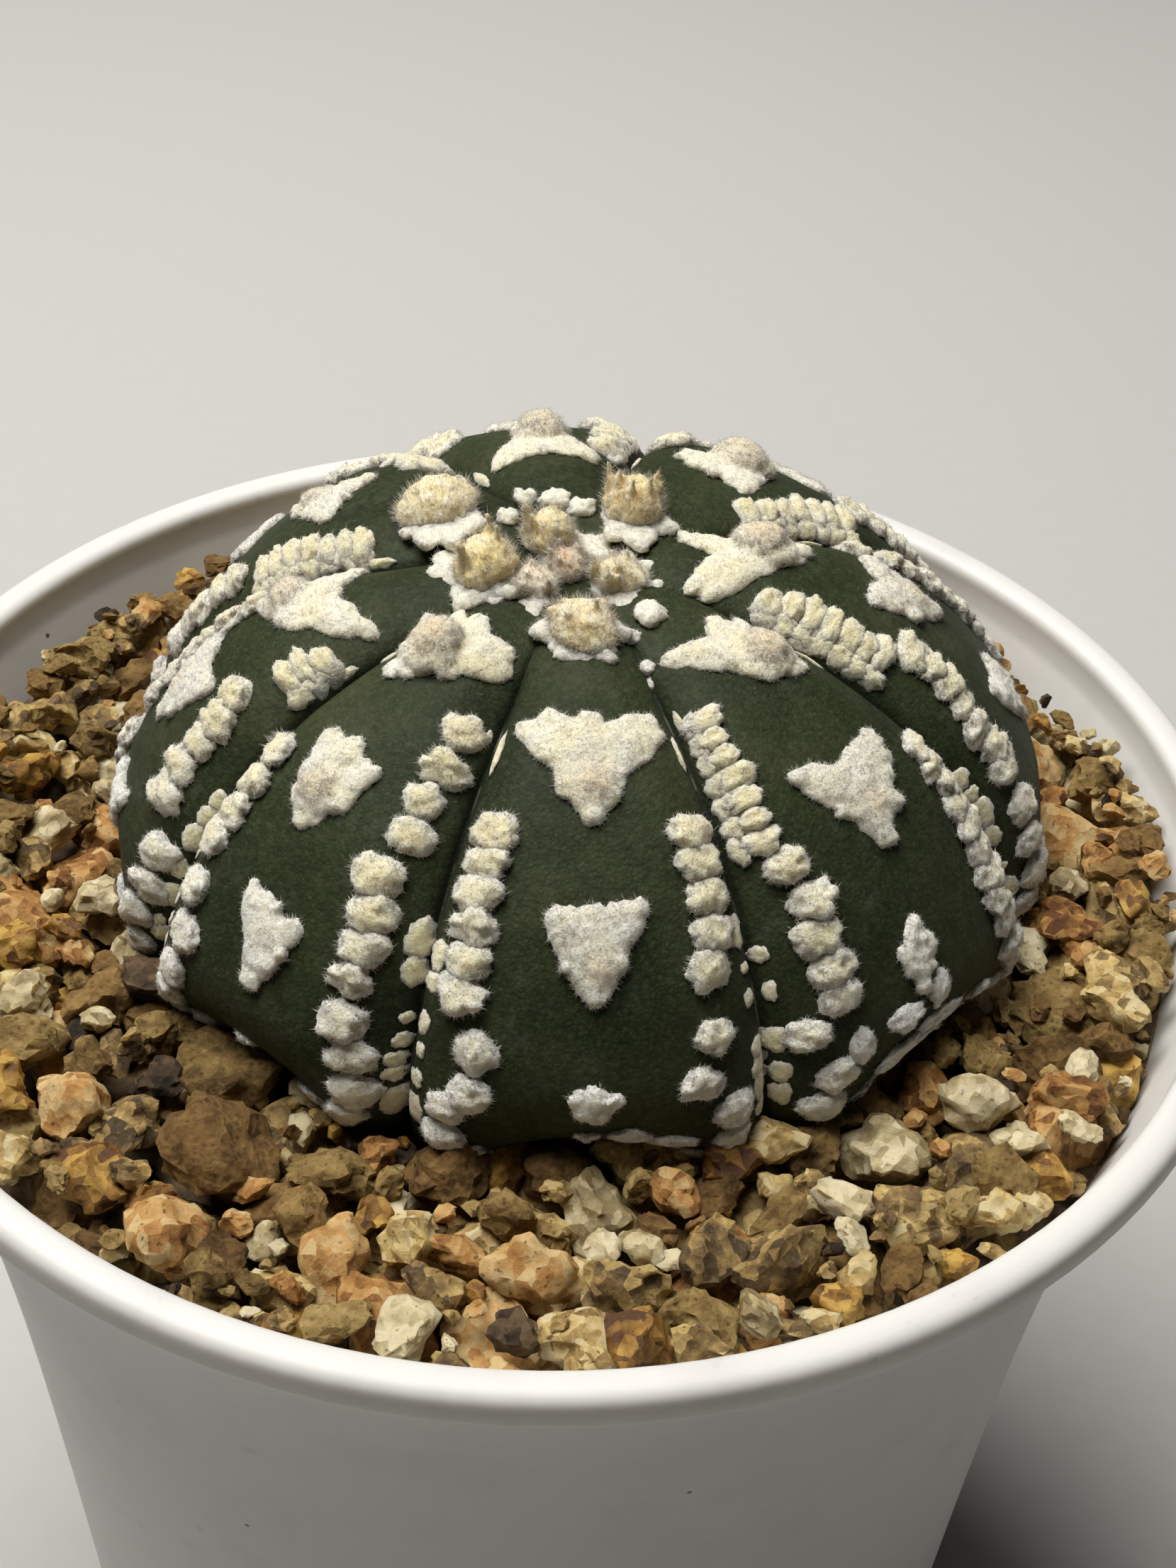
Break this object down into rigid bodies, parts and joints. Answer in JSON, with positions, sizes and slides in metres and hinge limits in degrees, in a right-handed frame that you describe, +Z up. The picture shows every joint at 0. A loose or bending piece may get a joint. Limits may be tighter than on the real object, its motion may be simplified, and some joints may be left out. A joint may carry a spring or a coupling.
{
  "type": "potted star cactus",
  "caption": "Low ribbed star cactus with wool flecks and V-shaped areoles, standing in coarse mineral mix in a white flared plant pot.",
  "frame": {"origin": "centre of the pot's base, on the surface it stands on", "axes": "+Z up along the pot's axis; the pictured front faces -Y; +X to the right seen from the front"},
  "size_m": [0.092, 0.092, 0.1004],
  "materials": {
    "pot_plastic": "satin",
    "mineral_mix": "matte",
    "plant_skin": "matte",
    "wool": "matte"
  },
  "bodies": {
    "root": {"pot": "pot_plastic", "potting_mix": "mineral_mix", "cactus_body": "plant_skin", "crown_wool": "wool"}
  },
  "joints": []
}
